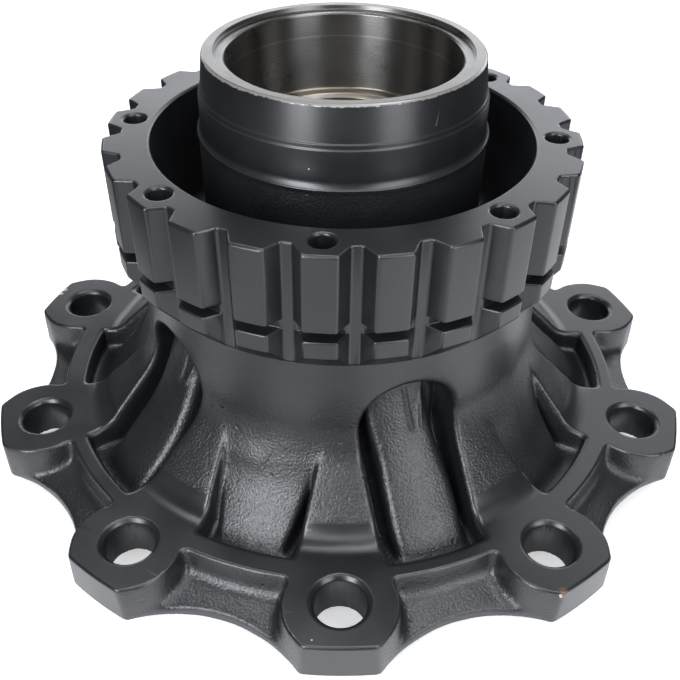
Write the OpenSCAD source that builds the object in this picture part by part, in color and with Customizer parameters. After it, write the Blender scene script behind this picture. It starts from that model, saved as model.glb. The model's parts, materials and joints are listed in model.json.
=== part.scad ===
// Cast wheel hub of a heavy truck, one piece, standing on its outboard spigot.
// The axle lies along +Z. The origin is the middle of the rest face, and the first
// stud lug points to -Y. Millimetres.

/* [Stud flange] */
// Number of wheel studs and lugs
stud_count = 10; // [8:2:10]
// Diameter of the stud circle
stud_circle_d = 335; // [332:0.5:338]
// Diameter of a stud hole
stud_hole_d = 24; // [20:0.5:26]
// Chamfer round the mouth of a stud hole
stud_chamfer = 2; // [0.5:0.5:3]
// From the stud circle to the turned outside of a lug
lug_reach = 23.5; // [21:0.5:26]
// Thickness of the flange at the lugs
flange_t = 22; // [20:0.5:26]
// Width of the round boss of a lug
lug_boss_d = 52.6; // [48:0.2:56]
// How far the middle of a boss lies outside the stud circle
lug_boss_out = 1.8; // [0:0.1:3]
// Radius of the scallop between two lugs
scallop_r = 70; // [60:1:85]
// From the stud circle to the deepest point of a scallop
scallop_out = 4.8; // [3:0.1:8]

/* [Machined ring face] */
// From the stud circle in to the edge of the turned face
face_in = 10.5; // [9:0.1:12]
// Drop from the turned face to the cast shelf
shelf_drop = 12; // [9:0.5:14]
// Fall of the shelf from its foot to the scallop
shelf_fall = 4.5; // [1:0.5:6]
// Outward lean of the step below the turned face
step_lean = 1.6; // [0.5:0.1:3]

/* [Spigot and rest face] */
// From the stud circle in to the spigot that centres the wheel
spigot_in = 27.1; // [26.5:0.1:29]
// Height of the spigot
spigot_h = 12; // [8:0.5:16]
// Diameter of the boss round the outboard bearing
boss_d = 142; // [136:1:150]
// Outside diameter of the turned dish in the outboard face
dish_d = 212; // [196:1:224]
// Depth of the dish
dish_depth = 22; // [10:1:24]

/* [Neck and bearing bores] */
// Height of the neck above the turned face
neck_h = 184; // [178:0.5:190]
// Diameter of the inboard bearing bore
bearing_in_d = 110; // [102:0.5:114]
// Length of the inboard bearing bore
bearing_in_l = 39; // [30:0.5:44]
// Width of the ledge between the bearing bore and the seal seat
ledge_w = 5.1; // [3:0.1:6]
// Depth of the seal seat
seal_depth = 2.2; // [1:0.1:4]
// Width of the bare rim round the seal seat
rim_w = 5.2; // [3:0.1:7]
// Step from the rim out to the lower turned seat of the neck
seat_step = 2.9; // [1:0.1:4]
// Step from the lower turned seat out to the rough neck
cast_step = 2.2; // [1:0.1:4]
// Length of the upper turned seat of the neck
upper_seat_l = 16.2; // [10:0.1:18]
// Length of the lower turned seat of the neck
lower_seat_l = 12.6; // [8:0.1:16]
// Diameter of the outboard bearing bore
bearing_out_d = 100; // [90:0.5:106]
// Length of the outboard bearing bore
bearing_out_l = 38; // [28:0.5:44]
// Width of the shoulder behind the outboard bearing
shoulder_w = 3; // [2:0.5:8]

/* [Toothed ring] */
// Diameter over the teeth
tooth_d = 229.8; // [226:0.2:234]
// Height of the lower end of the teeth above the turned face
tooth_foot = 93; // [88:0.5:98]
// Length of the teeth
tooth_l = 51.3; // [46:0.1:58]
// Depth of the gaps between the teeth
tooth_h = 7.9; // [6:0.1:9]
// Number of teeth
tooth_count = 24; // [16:8:24]
// Width of the flat on top of a tooth
tooth_w = 14.3; // [10:0.1:16]
// Width of the bottom of a gap
gap_w = 4.8; // [3:0.1:7]
// Turn of the first tooth from the first lug
tooth_turn = -4.8; // [-7.5:0.1:7.5]
// Wall of the ring behind the gaps
ring_wall = 14.2; // [12:0.1:18]
// From the lower end of the teeth up to the middle of the retaining slot
slot_up = 11.3; // [8:0.1:18]
// Height of the retaining slot
slot_h = 4.5; // [2.5:0.1:6]
// Number of tapped holes in the top of the ring
ring_hole_count = 8; // [4:4:8]
// From the tips of the teeth in to the circle of the tapped holes
ring_hole_in = 12; // [10:0.1:14]
// Diameter of a tapped hole
ring_hole_d = 10.8; // [6:0.1:12]
// Depth of a tapped hole
ring_hole_depth = 26; // [15:1:40]
// Height of the floor of the hollow round the neck above the turned face
hollow_floor = 80; // [76:1:100]

/* [Drum, spokes and pockets] */
// From the bottom of the gaps in to the drum below the teeth
drum_in = 4.7; // [4:0.1:6]
// How much the drum widens down to the spokes
drum_flare = 2.2; // [1:0.1:4]
// From the edge of the turned face in to the foot of a spoke
foot_in = 12.6; // [10:0.1:14]
// Radius of the blend between the drum and a spoke
spoke_blend = 30; // [15:1:40]
// Height of the turned hollow at the foot of a spoke
foot_h = 7; // [5:0.1:9]
// Radius of the turned hollow at the foot of a spoke
foot_r = 16; // [12:0.5:22]
// Width of a pocket between the spokes
pocket_w = 47.6; // [42:0.2:50]
// Width of the lower end of the floor of a shallow pocket
shallow_floor_w = 32; // [28:0.5:38]
// Depth of a shallow pocket below the top of a spoke
shallow_depth = 7.6; // [4:0.1:9]
// Depth of the grooves of a shallow pocket below the top of a spoke
groove_depth = 17; // [10:0.5:19]
// From the drum in to the back wall of a deep pocket
deep_back_in = 12.3; // [8:0.1:14]
// Height of the middle of the arch of a deep pocket above the turned face
arch_mid = 41.8; // [38:0.1:44]
// Depth of the grooves of a deep pocket below the top of a spoke
deep_depth = 19; // [11:0.5:21]
// Width of the bar in a deep pocket
bar_w = 28; // [22:0.5:32]
// Depth of the face of the bar below the top of a spoke
bar_depth = 5; // [2:0.1:9]
// Depth of the upper end of the bar below the drum
bar_in = 7.5; // [5:0.1:10]
// Depth of the pockets below the turned face
pocket_floor = 12; // [8:0.5:14]
// Width of the turned face in front of a shallow pocket
shallow_band_w = 11.2; // [9:0.1:14]
// Width of the turned face in front of a deep pocket
deep_band_w = 8.7; // [7:0.1:12]

/* [Hidden] */
$fn = 96;
e = 0.5;
iron = [0.17, 0.175, 0.185];
lug_pitch = 360 / stud_count;
spoke_pairs = stud_count / 2;
z_face = spigot_h + flange_t;
z_rim = z_face + neck_h;
z_foot = z_face + tooth_foot;
z_ring = z_foot + tooth_l;
tooth_r = tooth_d / 2;
root_r = tooth_r - tooth_h;
drum_top_r = root_r - drum_in;
drum_foot_r = drum_top_r + drum_flare;
z_drum = z_foot - (tooth_r - drum_top_r);
seal_r = bearing_in_d / 2 + ledge_w;
rim_r = seal_r + rim_w;
seat_r = rim_r + seat_step;
neck_r = seat_r + cast_step;
way_d = bearing_out_d - 2 * shoulder_w;
stud_r = stud_circle_d / 2;
flange_r = stud_r + lug_reach;
face_r = stud_r - face_in;
spigot_r = stud_r - spigot_in;
scallop_reach = stud_r + scallop_out;
shallow_wall_r = face_r - shallow_band_w;
deep_wall_r = face_r - deep_band_w;
deep_back_r = drum_top_r - deep_back_in;
// half section of a spoke, whose slope falls at 45 degrees from the drum to the turned foot
p_face = [face_r - foot_in, z_face];
foot_reach = sqrt(foot_r * foot_r - (foot_r - foot_h) * (foot_r - foot_h));
p_foot = [p_face[0] - foot_reach, z_face + foot_h];
slope_sum = p_foot[0] + p_foot[1];
corner_r = drum_foot_r + 1;
p_corner = [corner_r, slope_sum - corner_r];
p_drum = [drum_top_r, z_drum];
spoke_top = p_corner[1] - z_face;
z_arch_top = z_face + arch_mid + pocket_w / 2 + 6;
z_upper_seat = z_rim - upper_seat_l;
z_lower_seat = z_upper_seat - 3.2 - lower_seat_l;
// outline of the neck from its root up to the rim, with two turned seats
neck_outline = [
    [neck_r + 1.5, z_face],
    [neck_r, z_lower_seat - 12],
    [neck_r - 0.3, z_lower_seat - 4.6],
    [seat_r + 0.3, z_lower_seat],
    [seat_r, z_lower_seat + lower_seat_l],
    [rim_r + 1.6, z_upper_seat],
    [rim_r, z_rim - 1],
    [rim_r - 1, z_rim]
];

function unit(v) = v / norm(v);
function half_angle(a, b, c) = acos(unit(a - b) * unit(c - b)) / 2;
function blend_in(a, b, c, r) = b + unit(a - b) * r / tan(half_angle(a, b, c));
function blend_mid(a, b, c, r) = b + unit(unit(a - b) + unit(c - b)) * r / sin(half_angle(a, b, c));

// half section of the casting before anything is hollowed out
module solid_section() {
    difference() {
        polygon([
            [0, 0],
            [spigot_r - 2, 0],
            [spigot_r, 2],
            [spigot_r, spigot_h],
            [flange_r - 1, spigot_h],
            [flange_r, spigot_h + 1],
            [flange_r, z_face - 0.6],
            [flange_r - 0.6, z_face],
            p_face,
            p_foot,
            blend_in(p_foot, p_corner, p_drum, spoke_blend),
            blend_in(p_drum, p_corner, p_foot, spoke_blend),
            p_drum,
            [root_r, z_foot - tooth_h - 1.6],
            [tooth_r, z_foot],
            [tooth_r, z_ring - 0.6],
            [tooth_r - 0.6, z_ring],
            [0, z_ring]
        ]);
        translate([p_face[0], z_face + foot_r]) circle(r = foot_r);
        translate(blend_mid(p_foot, p_corner, p_drum, spoke_blend)) circle(r = spoke_blend);
    }
    polygon(concat([[0, 0]], neck_outline, [[0, z_rim]]));
}

// half section of the hollow between the neck and the ring, with a round floor
module hollow_section() {
    inner = neck_r + 0.8;
    outer = root_r - ring_wall;
    r_floor = (outer - 1.5 - inner) / 2;
    z_low = z_face + hollow_floor;
    difference() {
        polygon([
            [inner, z_low + r_floor],
            [outer - 1.5, z_low + r_floor],
            [outer, z_ring - 1],
            [outer + 1.6, z_ring + 0.6],
            [outer + 1.6, z_rim + 1],
            [rim_r - 1, z_rim + 1],
            [neck_r - 12, z_ring]
        ]);
        polygon(concat([[0, 0]], neck_outline, [[rim_r - 1, z_rim + 2], [0, z_rim + 2]]));
    }
    translate([inner + r_floor, z_low + r_floor]) circle(r = r_floor);
}

// half section of the slot that keeps a clip behind the brake disc
module retaining_slot_section() {
    slot_low = z_foot + slot_up - slot_h / 2;
    slot_high = z_foot + slot_up + slot_h / 2;
    polygon([
        [root_r + 0.6, slot_low],
        [tooth_r - 0.5, slot_low],
        [tooth_r + e, slot_low - 1],
        [tooth_r + e, slot_high + 1],
        [tooth_r - 0.5, slot_high],
        [root_r + 0.6, slot_high]
    ]);
}

// half section of the turned dish in the outboard face
module dish_section() {
    polygon([
        [boss_d / 2, -e],
        [boss_d / 2, dish_depth - 5],
        [boss_d / 2 + 5, dish_depth],
        [dish_d / 2 - 8, dish_depth],
        [dish_d / 2, dish_depth - 8],
        [dish_d / 2, 2],
        [dish_d / 2 + 2 + e, -e]
    ]);
}

// gap between two teeth, cut along the axle
module tooth_gap() {
    half_pitch = 180 / tooth_count;
    half_tooth = asin(tooth_w / tooth_d);
    mouth = tooth_r * sin(half_pitch - half_tooth);
    slope = (mouth - gap_w / 2) / tooth_h;
    over = 3;
    translate([0, 0, z_drum - 20]) linear_extrude(height = z_ring - z_drum + 30) polygon([
        [root_r, -gap_w / 2],
        [root_r, gap_w / 2],
        [tooth_r + over, mouth + slope * over],
        [tooth_r + over, -mouth - slope * over]
    ]);
}

module ring_holes() {
    for (i = [0 : ring_hole_count - 1])
        rotate([0, 0, -90 + tooth_turn + i * 360 / ring_hole_count])
            translate([tooth_r - ring_hole_in, 0, z_ring]) {
                translate([0, 0, -ring_hole_depth]) cylinder(d = ring_hole_d, h = ring_hole_depth + e);
                translate([0, 0, -1]) cylinder(d1 = ring_hole_d, d2 = ring_hole_d + 2 + 2 * e, h = 1 + e);
            }
}

module stud_holes() {
    for (i = [0 : stud_count - 1])
        rotate([0, 0, -90 + i * lug_pitch]) translate([stud_r, 0, 0]) {
            translate([0, 0, spigot_h - 1]) cylinder(d = stud_hole_d, h = flange_t + 2);
            translate([0, 0, z_face - stud_chamfer])
                cylinder(d1 = stud_hole_d, d2 = stud_hole_d + 2 * (stud_chamfer + e), h = stud_chamfer + e);
        }
}

// scallops through the flange and the lowered cast shelf between the lugs
module between_lugs() {
    for (i = [0 : stud_count - 1])
        rotate([0, 0, -90 + (i + 0.5) * lug_pitch])
            translate([scallop_reach + scallop_r, 0, spigot_h - 1]) cylinder(r = scallop_r, h = flange_t + 2);
    difference() {
        rotate_extrude() polygon([
            [face_r - step_lean / 6, z_face + 2],
            [face_r, z_face],
            [face_r + step_lean, z_face - shelf_drop],
            [scallop_reach + 3, z_face - shelf_drop - shelf_fall],
            [flange_r + 3, z_face - shelf_drop - shelf_fall - 1],
            [flange_r + 3, z_face + 2]
        ]);
        for (i = [0 : stud_count - 1])
            rotate([0, 0, -90 + i * lug_pitch]) translate([stud_r + lug_boss_out, 0, 0])
                translate([0, 0, spigot_h])
                    cylinder(d1 = lug_boss_d + 3.6, d2 = lug_boss_d, h = flange_t + e);
    }
}

// pocket whose floor carries the drum on, with a groove along each spoke that widens downwards
module shallow_pocket() {
    sum_floor = slope_sum - shallow_depth * sqrt(2);
    low = pocket_floor + 1;
    half = pocket_w / 2 - 0.4;
    intersection() {
        rotate_extrude() polygon([
            [corner_r + 0.8, z_face + spoke_top + 10],
            [corner_r, sum_floor - corner_r],
            [sum_floor - z_face + pocket_floor - 3, z_face - pocket_floor + 3],
            [sum_floor - z_face + pocket_floor + 1, z_face - pocket_floor],
            [shallow_wall_r, z_face - pocket_floor],
            [shallow_wall_r, z_face + 3],
            [shallow_wall_r - 4, z_face + spoke_top + 10]
        ]);
        translate([drum_top_r, -pocket_w / 2, 0]) cube([flange_r, pocket_w, z_rim]);
    }
    intersection() {
        rotate_extrude() translate([drum_foot_r / 2, z_face - pocket_floor])
            square([shallow_wall_r - drum_foot_r / 2, spoke_top + pocket_floor]);
        translate([slope_sum - z_face, 0, z_face]) rotate([0, 45, 0])
            translate([0, 0, -groove_depth]) linear_extrude(height = groove_depth + 30)
                for (side = [-1, 1])
                    polygon([
                        [-spoke_top * sqrt(2), side * half],
                        [low * sqrt(2) + groove_depth, side * half],
                        [low * sqrt(2) + groove_depth, side * shallow_floor_w / 2],
                        [-spoke_top * sqrt(2), side * (half - 1)]
                    ]);
    }
}

// half section of the bar in a deep pocket, which follows the spokes and the drum
module bar_section() {
    sum_bar = slope_sum - bar_depth * sqrt(2);
    z_low = z_face - pocket_floor - 2;
    b_corner = [drum_foot_r - bar_in, sum_bar - drum_foot_r + bar_in];
    b_low = [sum_bar - z_low, z_low];
    b_high = [b_corner[0], z_arch_top];
    difference() {
        polygon([
            [drum_foot_r / 2, z_low],
            b_low,
            blend_in(b_low, b_corner, b_high, spoke_blend),
            blend_in(b_high, b_corner, b_low, spoke_blend),
            b_high,
            [drum_foot_r / 2, z_arch_top]
        ]);
        translate(blend_mid(b_low, b_corner, b_high, spoke_blend)) circle(r = spoke_blend);
    }
}

// pocket with an arched top in the drum and a bar down its middle
module deep_pocket() {
    sum_deep = slope_sum - deep_depth * sqrt(2);
    difference() {
        intersection() {
            rotate_extrude() polygon([
                [deep_back_r, z_arch_top],
                [deep_back_r, sum_deep - deep_back_r],
                [sum_deep - z_face + pocket_floor - 3, z_face - pocket_floor + 3],
                [sum_deep - z_face + pocket_floor + 1, z_face - pocket_floor],
                [deep_wall_r, z_face - pocket_floor],
                [deep_wall_r, z_arch_top]
            ]);
            translate([deep_back_r - 12, 0, 0]) rotate([90, 0, 90])
                linear_extrude(height = deep_wall_r - deep_back_r + 24) {
                    translate([0, z_face + arch_mid]) circle(d = pocket_w);
                    translate([-pocket_w / 2, z_face - pocket_floor - 1])
                        square([pocket_w, arch_mid + pocket_floor + 1]);
                }
        }
        intersection() {
            rotate_extrude() bar_section();
            translate([deep_back_r - 20, -bar_w / 2, 0]) cube([flange_r, bar_w, z_rim]);
        }
    }
}

module bores() {
    chamfer = 1;
    translate([0, 0, z_rim - seal_depth]) cylinder(r = seal_r, h = seal_depth + e);
    translate([0, 0, z_rim - seal_depth - chamfer])
        cylinder(d1 = bearing_in_d, d2 = bearing_in_d + 2 * chamfer + 2 * e, h = chamfer + e);
    translate([0, 0, z_rim - seal_depth - chamfer - bearing_in_l])
        cylinder(d = bearing_in_d, h = bearing_in_l + e);
    translate([0, 0, -e]) cylinder(d = way_d, h = z_rim + 1);
    translate([0, 0, z_rim - seal_depth - chamfer - bearing_in_l - 2])
        cylinder(d1 = way_d, d2 = way_d + 4 + 2 * e, h = 2 + e);
    translate([0, 0, -e]) cylinder(d = bearing_out_d, h = bearing_out_l + e);
    translate([0, 0, -e]) cylinder(d1 = bearing_out_d + 4 + 2 * e, d2 = bearing_out_d, h = 2 + e);
}

module hub() {
    color(iron) difference() {
        rotate_extrude() difference() {
            solid_section();
            hollow_section();
            retaining_slot_section();
            dish_section();
        }
        for (i = [0 : tooth_count - 1])
            rotate([0, 0, -90 + tooth_turn + (i + 0.5) * 360 / tooth_count]) tooth_gap();
        ring_holes();
        stud_holes();
        between_lugs();
        for (i = [0 : spoke_pairs - 1]) {
            rotate([0, 0, -90 - lug_pitch / 2 + 2 * i * lug_pitch]) shallow_pocket();
            rotate([0, 0, -90 + lug_pitch / 2 + 2 * i * lug_pitch]) deep_pocket();
        }
        bores();
    }
}

hub();
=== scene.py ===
"""Dressed model of a cast wheel hub for a heavy truck, standing on its outboard spigot.

The casting is one closed skin. Its lug and spoke sectors, and the sectors of its toothed
ring, come from one formula for the distance to the surface, and are copied round the
axle. Its neck, bores and underside are turned from one half section.
"""

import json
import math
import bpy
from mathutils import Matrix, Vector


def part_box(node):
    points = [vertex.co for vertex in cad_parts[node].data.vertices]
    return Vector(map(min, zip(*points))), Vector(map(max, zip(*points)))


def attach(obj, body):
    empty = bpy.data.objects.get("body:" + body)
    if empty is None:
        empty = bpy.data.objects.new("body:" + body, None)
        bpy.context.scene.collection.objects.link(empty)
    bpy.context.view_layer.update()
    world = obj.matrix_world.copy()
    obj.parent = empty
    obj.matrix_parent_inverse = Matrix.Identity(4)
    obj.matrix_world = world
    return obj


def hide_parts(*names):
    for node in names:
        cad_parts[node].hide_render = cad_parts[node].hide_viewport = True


bl_info = {
    "name": "Cast wheel hub",
    "version": (1, 0, 0),
    "blender": (4, 5, 0),
    "location": "3D View > Sidebar > Wheel Hub",
    "description": "Builds a painted cast wheel hub with turned seats, and a plain studio round it",
    "category": "Add Mesh",
}

import bmesh
import bpy
import numpy as np
from bpy.props import FloatProperty, FloatVectorProperty, IntProperty, PointerProperty
from mathutils import Matrix, Vector, noise

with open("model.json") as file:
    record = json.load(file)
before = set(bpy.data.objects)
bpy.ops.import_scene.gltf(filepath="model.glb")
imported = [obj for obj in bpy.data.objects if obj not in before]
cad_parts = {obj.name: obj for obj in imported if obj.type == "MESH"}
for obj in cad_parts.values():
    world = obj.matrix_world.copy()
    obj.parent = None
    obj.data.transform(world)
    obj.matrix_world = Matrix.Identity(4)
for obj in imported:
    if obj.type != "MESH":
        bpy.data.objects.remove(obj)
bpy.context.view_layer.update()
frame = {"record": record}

MM = 0.001
DEG = math.pi / 180
MOUNTS = {mount["name"]: mount for mount in frame["record"]["mounts"]}
LOW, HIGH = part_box("hub")

# Fineness of the skin: its triangles when thinned, and the columns of its turned part
TRIANGLES = 196000
TURN_STEPS = 208

# A turned face is level where its normal lies along the axle by at least this share
LEVEL_FACE = 0.99995


def mount_size(name, key):
    """A length that the frame states for one of its mounts, in metres."""
    return MOUNTS[name]["dims"][key] * MM


class HubSizes(bpy.types.PropertyGroup):
    """Sizes of the casting and of what is turned on it"""

    stud_count: IntProperty(
        name="Studs", description="Number of wheel studs and lugs",
        default=MOUNTS["wheel_studs"]["dims"]["count"], min=4)
    stud_circle: FloatProperty(
        name="Stud circle", description="Diameter of the stud circle",
        default=mount_size("wheel_studs", "pcd_mm"), unit="LENGTH")
    stud_hole: FloatProperty(
        name="Stud hole", description="Radius of a stud hole",
        default=mount_size("wheel_studs", "hole_r_mm"), unit="LENGTH")
    flange_radius: FloatProperty(
        name="Flange radius", description="Radius turned over the lugs",
        default=191 * MM, unit="LENGTH")
    flange_thickness: FloatProperty(
        name="Flange thickness", description="Thickness of the flange at the lugs",
        default=22 * MM, unit="LENGTH")
    scallop_radius: FloatProperty(
        name="Scallop radius", description="Radius of the scallop between two lugs",
        default=70 * MM, unit="LENGTH")
    scallop_reach: FloatProperty(
        name="Scallop reach", description="Distance from the axle to the deepest point of a scallop",
        default=172.3 * MM, unit="LENGTH")
    face_radius: FloatProperty(
        name="Face radius", description="Outside radius of the turned face between the lugs",
        default=157 * MM, unit="LENGTH")
    spigot_radius: FloatProperty(
        name="Spigot radius", description="Radius of the spigot that centres the wheel",
        default=mount_size("wheel_spigot", "r_mm"), unit="LENGTH")
    spigot_height: FloatProperty(
        name="Spigot height", description="Height of the spigot under the flange",
        default=MOUNTS["wheel_studs"]["pos_m"][2], unit="LENGTH")
    neck_height: FloatProperty(
        name="Neck height", description="Height of the rim above the turned face",
        default=184 * MM, unit="LENGTH")
    ring_height: FloatProperty(
        name="Ring height", description="Height of the top of the toothed ring",
        default=178.3 * MM, unit="LENGTH")
    tooth_count: IntProperty(
        name="Teeth", description="Number of teeth on the ring", default=24, min=8)
    tooth_radius: FloatProperty(
        name="Tooth radius", description="Radius over the teeth", default=114.9 * MM, unit="LENGTH")
    root_radius: FloatProperty(
        name="Root radius", description="Radius at the bottom of the gaps",
        default=107 * MM, unit="LENGTH")
    pocket_width: FloatProperty(
        name="Pocket width", description="Width of a pocket between two spokes",
        default=47.6 * MM, unit="LENGTH")
    cast_unevenness: FloatProperty(
        name="Unevenness", description="How far the rough skin of the casting wanders",
        default=0.22 * MM, unit="LENGTH")


class HubFinish(bpy.types.PropertyGroup):
    """Colours of the paint and of the bare metal"""

    paint: FloatVectorProperty(
        name="Paint", description="Colour of the satin black paint",
        subtype="COLOR", size=3, default=(0.009, 0.0094, 0.0105), min=0, max=1)
    steel: FloatVectorProperty(
        name="Bare metal", description="Colour of the bare turned metal",
        subtype="COLOR", size=3, default=(0.215, 0.208, 0.197), min=0, max=1)
    rust: FloatVectorProperty(
        name="Rust", description="Colour of the rust in a chip",
        subtype="COLOR", size=3, default=(0.20, 0.075, 0.03), min=0, max=1)
    primer: FloatVectorProperty(
        name="Primer", description="Pale colour where the paint has chipped off",
        subtype="COLOR", size=3, default=(0.45, 0.43, 0.40), min=0, max=1)


class StudioSizes(bpy.types.PropertyGroup):
    """Camera and lamps"""

    elevation: FloatProperty(
        name="Elevation", description="Angle at which the camera looks down",
        default=38.55 * DEG, subtype="ANGLE")
    azimuth: FloatProperty(
        name="Azimuth", description="Turn of the camera round the axle",
        default=-0.63 * DEG, subtype="ANGLE")
    roll: FloatProperty(
        name="Roll", description="Turn of the camera about its own line of sight",
        default=0.852 * DEG, subtype="ANGLE")
    distance: FloatProperty(
        name="Distance", description="Distance from the camera to the point it looks at",
        default=0.49994, unit="LENGTH")
    aim_height: FloatProperty(
        name="Aim height", description="Height on the axle that the camera looks at",
        default=46.56 * MM, unit="LENGTH")
    lens: FloatProperty(
        name="Lens", description="Focal length of the camera", default=45.556, unit="CAMERA")


# Smooth distance fields


def smooth_max(a, b, width):
    """Greater of two fields, blended where they are closer than width."""
    share = np.clip(0.5 + 0.5 * (a - b) / width, 0, 1)
    return b + (a - b) * share + width * share * (1 - share)


def ramp(value, low, high):
    """Rises smoothly from 0 at low to 1 at high."""
    share = np.clip((value - low) / (high - low), 0, 1)
    return share * share * (3 - 2 * share)


def smooth_min(a, b, width):
    """Lesser of two fields, blended where they are closer than width."""
    return -smooth_max(-a, -b, width)


def mound(value, width):
    """1 where value is 0, falling off smoothly over width on both sides."""
    return np.exp(-(value / width) ** 2)


def wrapped(angle, pitch):
    """Angle from the nearest of the places that lie one pitch apart round the axle."""
    return angle - pitch * np.round(angle / pitch)


def arc(centre, radius, start, end, steps):
    """Points of an arc in a half section, from start to end in degrees."""
    turn = np.linspace(start, end, steps + 1) * DEG
    return [(centre[0] + radius * math.cos(t), centre[1] + radius * math.sin(t)) for t in turn]


def rounded(corners, steps=2):
    """Points of a half section whose corners (r, z, radius) are rounded."""
    points = []
    for i, (r, z, radius) in enumerate(corners):
        here = Vector((r, z))
        if radius == 0 or i in (0, len(corners) - 1):
            points.append((r, z))
            continue
        before = (Vector(corners[i - 1][:2]) - here).normalized()
        after = (Vector(corners[i + 1][:2]) - here).normalized()
        half = before.angle(after) / 2
        reach = radius / math.tan(half)
        middle = here + (before + after).normalized() * radius / math.sin(half)
        first = here + before * reach - middle
        last = here + after * reach - middle
        for k in range(steps + 1):
            spoke = first.lerp(last, k / steps).normalized() * radius
            points.append(tuple(middle + spoke))
    return points


def section_field(points, r, z):
    """Distance to a closed half section, negative inside."""
    nearest = np.full(np.broadcast(r, z).shape, np.inf)
    inside = np.zeros(nearest.shape, bool)
    for (r0, z0), (r1, z1) in zip(points, points[1:] + points[:1]):
        dr, dz = r1 - r0, z1 - z0
        length = dr * dr + dz * dz
        if length == 0:
            continue
        share = np.clip(((r - r0) * dr + (z - z0) * dz) / length, 0, 1)
        nearest = np.minimum(nearest, (r - r0 - share * dr) ** 2 + (z - z0 - share * dz) ** 2)
        if dz != 0:
            spans = (z0 <= z) != (z1 <= z)
            inside ^= spans & (r < r0 + (z - z0) / dz * dr)
    return np.where(inside, -1, 1) * np.sqrt(nearest)


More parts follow.
